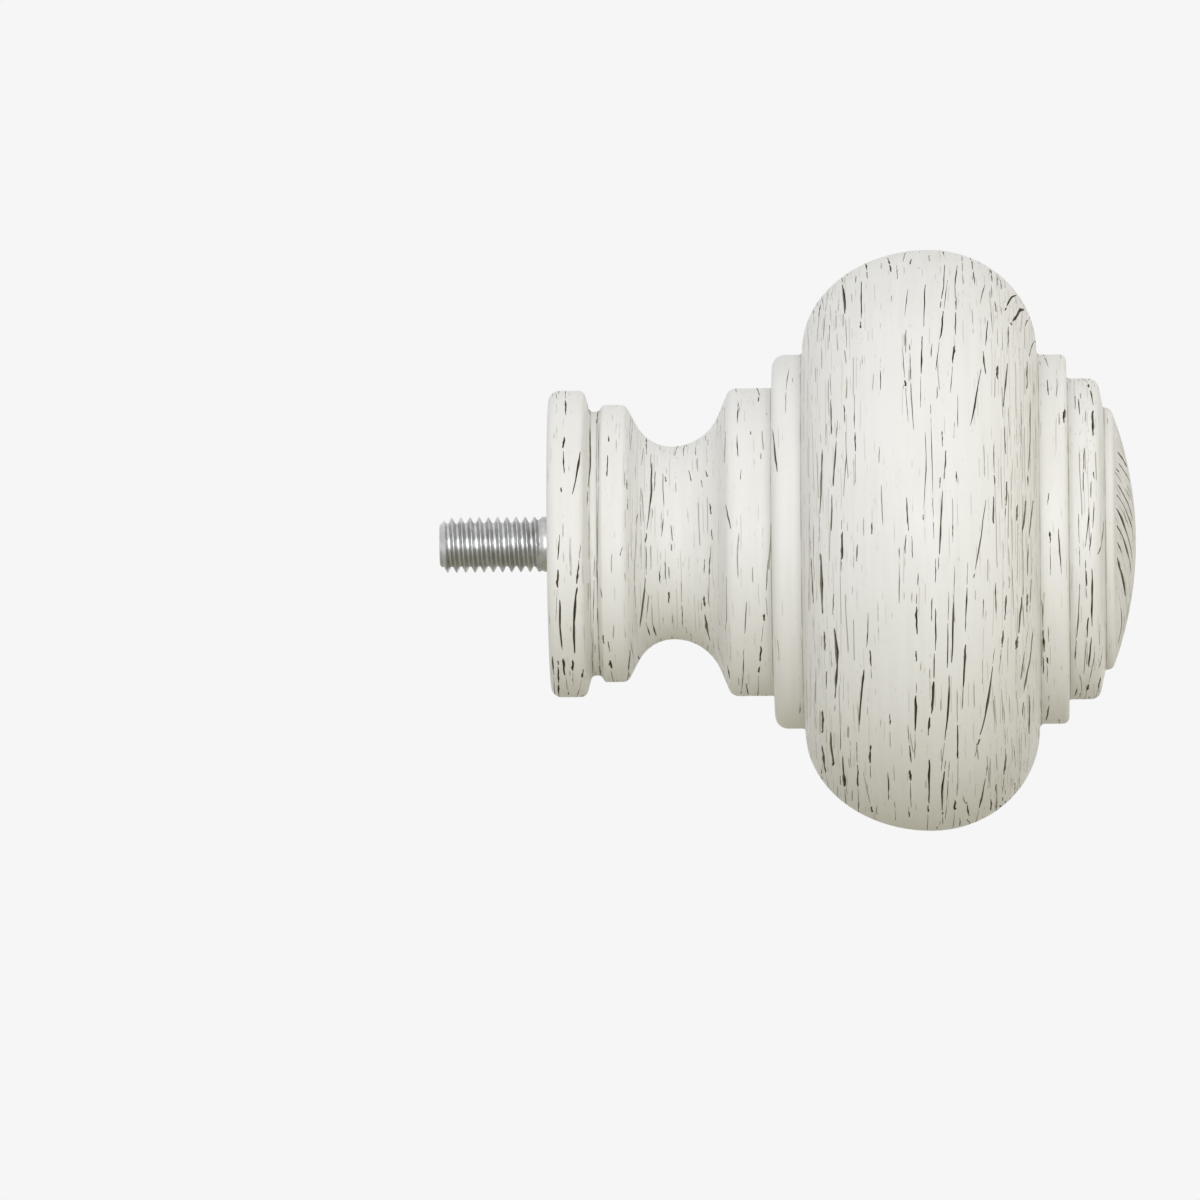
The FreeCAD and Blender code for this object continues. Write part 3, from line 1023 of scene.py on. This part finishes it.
# Hairlines: spacing and thickness of the two kinds, how they sway, lie in their rows and break
coarse_line = (1.1, 0.075)
fine_line = (0.47, 0.05)
fine_line_strength = 0.5
line_core = 0.4
sway_stretch = (0.25, 0.05, 0.05)
sway_rows = 2.5
row_margin = 0.2
row_distance = 50.0
break_stretch = (0.1, 0.2, 0.2)
break_levels = (0.64, 0.70)
density_weight = 0.16

# Paint: scale of its mottling, strength of its wash and painted shade, and its gloss and relief
paint_mottling = 90.0
paint_levels = (0.38, 0.66)
pore_strength = 0.6
hairline_strength = 0.8
# Wash and painted shade in the hollow corners: a thin uneven line, and a soft painted shade beside it
corner_stretch = (0.6, 0.25, 0.25)
corner_levels = (0.35, 0.62)
corner_strength = (0.35, 0.8)
corner_line = (0.03, 0.12)
corner_painted_shade = 0.14
corner_shade_reach = 0.8
# Painted shade over the dome's crown
crown_shade_share = 0.08
paint_roughness = (0.42, 0.56)
paint_specular = 0.4
streak_relief = 0.35
relief_strength = 0.5
relief_height = 0.08 * MM

# Wash in the strokes, and zinc plating
wash_mottling = 400.0
wash_shares = (0.85, 1.1)
wash_full_depth = 0.07
wash_depth_shares = (0.75, 1.1)
wash_roughness = (0.65, 0.85)
wash_specular = 0.2
zinc_mottling = 700.0
zinc_roughness = (0.28, 0.42)

# How dense the fine marks are: places along the axis, each with the density there
fine_marks = (
    (0, 0.4), (4, 0.3), (8, 0.4), (9, 0.8), (19, 0.6), (20, 0.4), (24, 0.4), (24.6, 0.1), (27.2, 0.1),
    (27.8, 1.0), (32, 0.8), (36, 0.3), (46, 0.4), (49, 1.0), (53, 1.0), (53.7, 0.3), (56.3, 0.3),
    (56.8, 0.9), (60, 0.7), (60.5, 0.3),
)
base_face_marks = 0.1
crown_marks = 1.0


def add_node(tree, kind, inputs=None, **settings):
    """New node with its settings, and its inputs linked to sockets or set to values."""
    made = tree.nodes.new(kind)
    for name, value in settings.items():
        setattr(made, name, value)
    for key, value in (inputs or {}).items():
        if isinstance(value, bpy.types.NodeSocket):
            tree.links.new(value, made.inputs[key])
        else:
            made.inputs[key].default_value = value
    return made


def mix_colour(tree, share, first, second):
    """Mix of two colours, with this share of the second."""
    return add_node(tree, "ShaderNodeMix", {0: share, 6: first, 7: second}, data_type="RGBA").outputs[2]


def maths(tree, operation, *values):
    """Result of an operation on sockets or values."""
    return add_node(tree, "ShaderNodeMath", dict(enumerate(values)), operation=operation).outputs[0]


def ranged(tree, value, low, high, to_low=0.0, to_high=1.0):
    """Value mapped smoothly from one range to another."""
    inputs = {"Value": value, "From Min": low, "From Max": high, "To Min": to_low, "To Max": to_high}
    return add_node(tree, "ShaderNodeMapRange", inputs, interpolation_type="SMOOTHSTEP").outputs[0]


def stretched_noise(tree, vector, scale, detail, roughness=0.5):
    """Noise over a vector that is first scaled by a factor for each of its axes."""
    scaled = add_node(tree, "ShaderNodeVectorMath", {0: vector, 1: scale}, operation="MULTIPLY").outputs[0]
    inputs = {"Vector": scaled, "Scale": 1.0, "Detail": detail, "Roughness": roughness}
    return add_node(tree, "ShaderNodeTexNoise", inputs).outputs["Fac"]


def attribute_of(tree, name, output="Fac"):
    """Attribute of the mesh as a socket."""
    return add_node(tree, "ShaderNodeAttribute", attribute_name=name).outputs[output]


def new_group(name, inputs, outputs):
    """New node group with its sockets, each given as (name, kind)."""
    group = bpy.data.node_groups.new(name, "ShaderNodeTree")
    for socket, kind in inputs:
        group.interface.new_socket(name=socket, in_out="INPUT", socket_type=kind)
    for socket, kind in outputs:
        group.interface.new_socket(name=socket, in_out="OUTPUT", socket_type=kind)
    return group, group.nodes.new("NodeGroupInput").outputs, group.nodes.new("NodeGroupOutput").inputs


def new_material(name):
    """New material with its node tree and its shader."""
    material = bpy.data.materials.new(name)
    material.use_nodes = True
    tree = material.node_tree
    return material, tree, tree.nodes["Principled BSDF"]


def broken_lines(tree, grain, density, spacing, thickness):
    """Thin swaying lines along the grain, one somewhere in each row, each broken in places of its own."""
    parts = add_node(tree, "ShaderNodeSeparateXYZ", {0: grain}).outputs
    sway = maths(tree, "MULTIPLY", stretched_noise(tree, grain, sway_stretch, detail=2.0), sway_rows)
    rows = maths(tree, "ADD", maths(tree, "DIVIDE", parts["X"], spacing), sway)
    row = maths(tree, "FLOOR", rows)
    chance = add_node(tree, "ShaderNodeTexWhiteNoise", {"W": row}, noise_dimensions="1D").outputs["Value"]
    in_row = maths(tree, "MULTIPLY_ADD", chance, 1 - 2 * row_margin, row_margin)
    middle = maths(tree, "ADD", row, in_row)
    gap = maths(tree, "MULTIPLY", maths(tree, "ABSOLUTE", maths(tree, "SUBTRACT", rows, middle)), spacing)
    line = ranged(tree, gap, line_core * thickness, thickness, 1.0, 0.0)
    own = {"X": maths(tree, "MULTIPLY", row, row_distance), "Y": parts["Y"], "Z": parts["Z"]}
    own = add_node(tree, "ShaderNodeCombineXYZ", own).outputs[0]
    wear = stretched_noise(tree, own, break_stretch, detail=3.0)
    wear = maths(tree, "MULTIPLY_ADD", density, density_weight, wear)
    return maths(tree, "MULTIPLY", line, ranged(tree, wear, *break_levels))


def brushed_grain_group():
    """Fine marks of brushed wood along the grain: soft streaks, hairlines and pores."""
    group, given, wanted = new_group(
        "brushed_grain",
        [("Grain", "NodeSocketVector"), ("Density", "NodeSocketFloat")],
        [("Streaks", "NodeSocketFloat"), ("Hairlines", "NodeSocketFloat"), ("Pores", "NodeSocketFloat")],
    )
    grain, density = given["Grain"], given["Density"]
    streaks = stretched_noise(group, grain, streak_stretch, detail=3.0, roughness=0.6)
    coarse = broken_lines(group, grain, density, *coarse_line)
    fine = broken_lines(group, grain, density, *fine_line)
    hairlines = maths(group, "MAXIMUM", coarse, maths(group, "MULTIPLY", fine, fine_line_strength))
    dots = ranged(group, stretched_noise(group, grain, pore_stretch, detail=1.0), *pore_levels)
    patches = ranged(group, stretched_noise(group, grain, patch_stretch, detail=2.0), *patch_levels)
    pores = maths(group, "MULTIPLY", maths(group, "MULTIPLY", dots, patches), density)
    for name, socket in (("Streaks", streaks), ("Hairlines", hairlines), ("Pores", pores)):
        group.links.new(socket, wanted[name])
    return group


def mottling_group():
    """Soft uneven tone over a surface, from its place on the piece."""
    group, given, wanted = new_group(
        "mottling", [("Size", "NodeSocketFloat")], [("Tone", "NodeSocketFloat")]
    )
    place = add_node(group, "ShaderNodeTexCoord").outputs["Object"]
    inputs = {"Vector": place, "Scale": given["Size"], "Detail": 4.0, "Roughness": 0.55}
    group.links.new(add_node(group, "ShaderNodeTexNoise", inputs).outputs["Fac"], wanted["Tone"])
    return group


def uneven_tone(tree, mottling, scale):
    """Tone of the mottling at a scale of its own."""
    return add_node(tree, "ShaderNodeGroup", {"Size": scale}, node_tree=mottling).outputs["Tone"]


def corner_gap(tree, grain):
    """Distance along the outline to the nearest hollow corner."""
    length = add_node(tree, "ShaderNodeSeparateXYZ", {0: grain}).outputs["X"]
    corners = nearest_on_outline(np.array([(x, radius, 0) for x, radius in hollow_corners]))[0]
    gaps = [maths(tree, "ABSOLUTE", maths(tree, "SUBTRACT", length, float(corner))) for corner in corners]
    return reduce(lambda first, second: maths(tree, "MINIMUM", first, second), gaps)


def corner_wash_and_shade(tree, grain):
    """Share of wash and painted shade in hollow corners: a thin uneven line, and painted shade beside it.
    """
    gap = corner_gap(tree, grain)
    noise = stretched_noise(tree, grain, corner_stretch, detail=3.0)
    uneven = ranged(tree, noise, *corner_levels, *corner_strength)
    line = maths(tree, "MULTIPLY", ranged(tree, gap, *corner_line, 1.0, 0.0), uneven)
    return maths(tree, "MAXIMUM", line, ranged(tree, gap, 0.0, corner_shade_reach, corner_painted_shade, 0.0))


def paint_material(brushed_grain, mottling):
    """Satin off-white paint, with wash in the grain, wash and painted shade in corners, painted shade on
    the crown.
    """
    material, tree, shader = new_material("distressed_paint")
    grain = attribute_of(tree, "grain", "Vector")
    inputs = {"Grain": grain, "Density": attribute_of(tree, "fine_marks")}
    marks = add_node(tree, "ShaderNodeGroup", inputs, node_tree=brushed_grain).outputs
    cloud = uneven_tone(tree, mottling, paint_mottling)
    tone = maths(tree, "MULTIPLY", maths(tree, "ADD", marks["Streaks"], cloud), 0.5)
    colour = mix_colour(tree, ranged(tree, tone, *paint_levels), paint_light, paint_shade)
    for mark, strength in (("Pores", pore_strength), ("Hairlines", hairline_strength)):
        colour = mix_colour(tree, maths(tree, "MULTIPLY", marks[mark], strength), colour, wash_tan)
    # Wash and painted shade in the hollow corners, and painted shade on the dome's crown, in the wash's
    # colour
    shade_and_wash = maths(tree, "MAXIMUM", corner_wash_and_shade(tree, grain), attribute_of(tree, "crown_painted_shade"))
    colour = mix_colour(tree, shade_and_wash, colour, wash_tan)
    tree.links.new(colour, shader.inputs["Base Color"])
    tree.links.new(ranged(tree, tone, *mottle_levels, *paint_roughness), shader.inputs["Roughness"])
    shader.inputs["Specular IOR Level"].default_value = paint_specular
    streaks = maths(tree, "MULTIPLY", marks["Streaks"], streak_relief)
    relief = {"Height": maths(tree, "SUBTRACT", streaks, marks["Hairlines"])}
    relief |= {"Strength": relief_strength, "Distance": relief_height}
    tree.links.new(add_node(tree, "ShaderNodeBump", relief).outputs["Normal"], shader.inputs["Normal"])
    return material


def wash_material(mottling):
    """Dark brown wash in the grain, paler along the rims of a stroke and where paint fills it."""
    material, tree, shader = new_material("brown_wash")
    cloud = uneven_tone(tree, mottling, wash_mottling)
    deep = ranged(tree, attribute_of(tree, "depth"), 0.0, wash_full_depth, *wash_depth_shares)
    uneven = ranged(tree, cloud, *mottle_levels, *wash_shares)
    tone = maths(tree, "MULTIPLY", attribute_of(tree, "tone"), uneven)
    colour = mix_colour(tree, maths(tree, "MULTIPLY", tone, deep), wash_tan, wash_dark)
    tree.links.new(colour, shader.inputs["Base Color"])
    tree.links.new(ranged(tree, cloud, *mottle_levels, *wash_roughness), shader.inputs["Roughness"])
    shader.inputs["Specular IOR Level"].default_value = wash_specular
    return material


def zinc_material(mottling):
    """Zinc plating, bright and slightly uneven."""
    material, tree, shader = new_material("zinc_plating")
    cloud = uneven_tone(tree, mottling, zinc_mottling)
    colour = mix_colour(tree, ranged(tree, cloud, *mottle_levels), zinc_light, zinc_shade)
    tree.links.new(colour, shader.inputs["Base Color"])
    tree.links.new(ranged(tree, cloud, *mottle_levels, *zinc_roughness), shader.inputs["Roughness"])
    shader.inputs["Metallic"].default_value = 1.0
    return material


# Pieces

# UV map of the casting: shares for its skin and its pocket, and what tells the pocket from the grain
casting_share = 0.88
pocket_share = 0.08
pocket_margin = 6
deeper_than_grain = 0.6
axis_reach = 1e-3

# How far the pocket's cutter overlaps, and how far off the crown's fine marks are read from the side's
pocket_reach = 0.5
crown_distance = 200

# Form of the thread over one turn: the share of the turn, and the share of its depth there
thread_form = ((0, 0), (0.125, 0), (0.4375, 1), (0.6875, 1), (1, 0))

# Where the thread starts, as a share of its run-out, and how near its skin a vertex counts as on it
thread_start = 0.5
skin_reach = 0.01


def pocket_for_bolt():
    """Shank and head of the bolt as a cutter for the casting."""
    end = shank_length + pocket_reach
    path = [(-pocket_reach, 0), (-pocket_reach, shank_radius), (end, shank_radius), (end, 0)]
    pocket = turned_piece("bolt_pocket", path, bolt_steps)
    boolean(pocket, hexagon_head("pocket_head"), "UNION")
    return pocket


def hexagon_head(name):
    """Hexagon head of the bolt."""
    bpy.ops.object.select_all(action="DESELECT")
    corner_radius = head_across_flats / 2 / math.cos(math.pi / 6)
    bpy.ops.mesh.primitive_cylinder_add(
        vertices=6,
        radius=corner_radius * MM,
        depth=head_height * MM,
        location=((shank_length + head_height / 2) * MM, 0, 0),
        rotation=(0, math.pi / 2, 0),
    )
    head = bpy.context.object
    head.name = name
    bpy.ops.object.transform_apply(location=True, rotation=True, scale=True)
    return head


def fine_mark_density(length):
    """How dense the fine marks are along the outline."""
    places, densities = np.array(fine_marks).T
    density = np.interp(x_at(length), places, densities)
    density = np.where(length < outline_length[face_edge], base_face_marks, density)
    return np.where(length > outline_length[crown_from], crown_marks, density)


def dress_casting(piece):
    """Writes what the paint reads at each vertex: the grain's run, density and depth, and the crown's
    painted shade.
    """
    mesh = piece.data
    places = read_places(mesh) / MM
    length, height = nearest_on_outline(places)
    crown = length > outline_length[crown_from]
    cosine, sine = math.cos(dome_stroke_angle), math.sin(dome_stroke_angle)
    across = places[:, 1] * sine + places[:, 2] * cosine
    lengthwise = places[:, 1] * cosine - places[:, 2] * sine
    grain_run = np.stack([length, places[:, 1], places[:, 2]], axis=1)
    crown_run = np.stack([across + crown_distance, lengthwise, np.zeros_like(across)], axis=1)
    grain_run[crown] = crown_run[crown]
    write_attribute(mesh, "grain", "FLOAT_VECTOR", grain_run.astype(np.float32))
    write_attribute(mesh, "fine_marks", "FLOAT", fine_mark_density(length).astype(np.float32))
    write_attribute(mesh, "depth", "FLOAT", (-height).astype(np.float32))
    # The dome's crown gets an even painted shade
    write_attribute(mesh, "crown_painted_shade", "FLOAT", np.where(crown, crown_shade_share, 0).astype(np.float32))
    map_for_baking(mesh, places, length, -height)


def map_for_baking(mesh, places, length, depth):
    """UV map of the casting: round the axis one way, along its outline the other.

    The pocket inside has a strip of its own at the top of the map.
    """
    corner_vertex = np.empty(len(mesh.loops), np.int32)
    mesh.loops.foreach_get("vertex_index", corner_vertex)
    sizes = np.empty(len(mesh.polygons), np.int32)
    mesh.polygons.foreach_get("loop_total", sizes)
    face = np.repeat(np.arange(len(sizes)), sizes)
    corners = places[corner_vertex]
    middles = np.stack([np.bincount(face, corners[:, k]) / sizes for k in range(3)], axis=1)
    in_pocket = np.bincount(face, depth[corner_vertex] > deeper_than_grain) > 0

    angle = np.arctan2(corners[:, 2], -corners[:, 1])
    middle_angle = np.arctan2(middles[:, 2], -middles[:, 1])[face]
    turn = np.mod(angle - middle_angle + math.pi, 2 * math.pi) - math.pi
    turn[np.hypot(corners[:, 1], corners[:, 2]) < axis_reach] = 0
    round_axis = (middle_angle + turn) / (2 * math.pi) + 0.5
    along_outline = casting_share * length[corner_vertex] / outline_length[-1]
    longest_run = shank_length + head_height + pocket_margin
    pocket_run = (corners[:, 0] + np.hypot(corners[:, 1], corners[:, 2])) / longest_run
    up = np.where(in_pocket[face], 1 - pocket_share * (1 - pocket_run), along_outline)
    layer = mesh.uv_layers.new(name="OFBake")
    layer.uv.foreach_set("vector", np.stack([round_axis, up], axis=1).astype(np.float32).ravel())


def make_casting(grain, paint, wash):
    """The turned casting, with its grain carved in and the bolt's pocket cut out."""
    casting = turned_piece("painted_casting", outline, turn_steps)
    boolean(casting, pocket_for_bolt(), "DIFFERENCE")
    cutter = carved_grain(grain)
    for piece in (casting, cutter):
        piece.data.materials.clear()
        piece.data.materials.append(paint)
        piece.data.materials.append(wash)
    cutter.data.polygons.foreach_set("material_index", np.ones(len(cutter.data.polygons), np.int32))
    write_attribute(casting.data, "tone", "FLOAT", np.zeros(len(casting.data.vertices), np.float32))
    boolean(casting, cutter, "DIFFERENCE")
    casting.data.validate()
    for layer in list(casting.data.uv_layers):
        casting.data.uv_layers.remove(layer)
    dress_casting(casting)
    smooth_shading(casting)
    return casting


def thread_height(x, angle):
    """Radius of the bolt's thread at a place along the axis and an angle about it."""
    turn = np.mod(x / thread_pitch - angle / (2 * math.pi), 1)
    fall = np.interp(turn, *np.array(thread_form).T)
    fade = np.clip(-x / thread_run_out - thread_start, 0, 1)
    radius = thread_radius - thread_depth * fall * fade
    chamfer = thread_radius - thread_chamfer + (x + thread_reach)
    return np.minimum(radius, chamfer)


def make_bolt(zinc):
    """The bolt, with its real thread on the end that stands out of the base."""
    slices = round(thread_reach / thread_pitch * thread_slices)
    thread = [(-thread_reach + thread_reach * k / slices, thread_radius) for k in range(slices + 1)]
    path = [(-thread_reach, 0), *thread, (0, shank_radius), (shank_length, shank_radius), (shank_length, 0)]
    bolt = turned_piece("zinc_bolt", path, bolt_steps)
    places = read_places(bolt.data) / MM
    radius = np.hypot(places[:, 1], places[:, 2])
    threaded = (radius > thread_radius - skin_reach) & (places[:, 0] < skin_reach)
    angle = np.arctan2(places[:, 2], places[:, 1])
    size = np.where(threaded, thread_height(places[:, 0], angle) / np.maximum(radius, rounding), 1.0)
    places[:, 1:] *= size[:, None]
    write_places(bolt.data, places * MM)
    boolean(bolt, hexagon_head("bolt_head"), "UNION")
    bolt.data.materials.clear()
    bolt.data.materials.append(zinc)
    smooth_shading(bolt)
    return bolt


grain = Grain()
lay_drawn(grain, drawn_strokes, 1.0)
lay_drawn(grain, filled_strokes, filled_tone)
lay_dome(grain)
for _, *band in grain_bands:
    lay_strands(grain, *band)

brushed_grain = brushed_grain_group()
mottling = mottling_group()
casting = make_casting(grain, paint_material(brushed_grain, mottling), wash_material(mottling))
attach(casting, "root")
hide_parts("finial_body")

bolt = make_bolt(zinc_material(mottling))
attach(bolt, "root")
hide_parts("mounting_bolt")


# Floor, light and camera

# Floor, in metres: where it lies, how far it is warm and how far it is seen, and its colours
middle_x = 0.03
floor_drop = 85 * MM
floor_radius = 420 * MM
floor_sides = 96
floor_bounce = (0.08, 0.25)
floor_fade = (0.5 * floor_radius, 0.95 * floor_radius)
floor_roughness = 0.9
floor_seen = (0.95, 0.945, 0.93, 1)
floor_warm = (0.52, 0.50, 0.385, 1)
floor_plain = (0.62, 0.615, 0.59, 1)

# Surround, with a warmer side beyond the dome's end
sky_above = (0.77, 0.77, 0.77, 1)
sky_below = (0.50, 0.495, 0.48, 1)
sky_aside = (0.85, 0.80, 0.60, 1)
aside_levels = (0.45, 1.0)
aside_share = 0.7
backdrop = (0.92, 0.92, 0.92, 1)

# Lamp, in metres and watts
lamp_size = 1.2
lamp_power = 9.6
lamp_distance = 1.5
lamp_height = 0.22


def make_floor():
    """Pale floor below the finial, which fades out towards its edge."""
    bpy.ops.object.select_all(action="DESELECT")
    bpy.ops.mesh.primitive_circle_add(
        vertices=floor_sides, radius=floor_radius, fill_type="NGON", location=(middle_x, 0, -floor_drop)
    )
    floor = bpy.context.object
    floor.name = "floor"
    bpy.ops.object.transform_apply(location=True, rotation=True, scale=True)
    material, tree, shader = new_material("pale_floor")
    place = add_node(tree, "ShaderNodeTexCoord").outputs["Object"]
    reach = add_node(tree, "ShaderNodeVectorMath", {0: place}, operation="LENGTH").outputs["Value"]
    bounce = mix_colour(tree, ranged(tree, reach, *floor_bounce), floor_warm, floor_plain)
    seen = add_node(tree, "ShaderNodeLightPath").outputs["Is Camera Ray"]
    tree.links.new(mix_colour(tree, seen, bounce, floor_seen), shader.inputs["Base Color"])
    tree.links.new(ranged(tree, reach, *floor_fade, 1.0, 0.0), shader.inputs["Alpha"])
    shader.inputs["Roughness"].default_value = floor_roughness
    floor.data.materials.append(material)


def make_world():
    """Soft studio surround: a pale backdrop to look at, brighter from above as light."""
    world = bpy.data.worlds.new("studio")
    bpy.context.scene.world = world
    world.use_nodes = True
    tree = world.node_tree
    tree.nodes.clear()
    direction = add_node(tree, "ShaderNodeTexCoord").outputs["Generated"]
    parts = add_node(tree, "ShaderNodeSeparateXYZ", {0: direction}).outputs
    height = {"Value": parts["Z"], "From Min": -1.0, "From Max": 1.0}
    upward = add_node(tree, "ShaderNodeMapRange", height).outputs[0]
    soft = mix_colour(tree, upward, sky_below, sky_above)
    soft = mix_colour(tree, ranged(tree, parts["X"], *aside_levels, 0.0, aside_share), soft, sky_aside)
    light = add_node(tree, "ShaderNodeBackground", {"Color": soft, "Strength": 1.0})
    seen = add_node(tree, "ShaderNodeBackground", {"Color": backdrop, "Strength": 1.0})
    path = add_node(tree, "ShaderNodeLightPath").outputs
    shown = maths(tree, "MAXIMUM", path["Is Camera Ray"], path["Is Transmission Ray"])
    shown = maths(tree, "MAXIMUM", shown, path["Is Glossy Ray"])
    mixed = add_node(tree, "ShaderNodeMixShader", {0: shown, 1: light.outputs[0], 2: seen.outputs[0]})
    output = add_node(tree, "ShaderNodeOutputWorld")
    tree.links.new(mixed.outputs[0], output.inputs["Surface"])


def make_light():
    """Large soft lamp in front, a little above the finial."""
    data = bpy.data.lights.new("softbox", "AREA")
    data.shape = "SQUARE"
    data.size = lamp_size
    data.energy = lamp_power
    lamp = bpy.data.objects.new("softbox", data)
    lamp.location = (middle_x, -lamp_distance, lamp_height)
    lamp.rotation_euler = (math.atan2(lamp_distance, lamp_height), 0, 0)
    lamp.visible_camera = False
    bpy.context.scene.collection.objects.link(lamp)


def make_camera():
    """Camera at the side, turned towards the dome's end and rolled a little."""
    data = bpy.data.cameras.new("side_camera")
    data.lens = sensor * view_distance / picture_width
    data.sensor_width = sensor
    data.clip_end = view_end * MM
    camera = bpy.data.objects.new("side_camera", data)
    x, z = picture_centre
    away = (x + view_distance * math.sin(view_turn), -view_distance * math.cos(view_turn), z)
    camera.location = [value * MM for value in away]
    camera.rotation_euler = (math.pi / 2, view_roll, view_turn)
    bpy.context.scene.collection.objects.link(camera)
    bpy.context.scene.camera = camera


make_floor()
make_world()
make_light()
make_camera()
bpy.context.scene.view_settings.view_transform = "Standard"
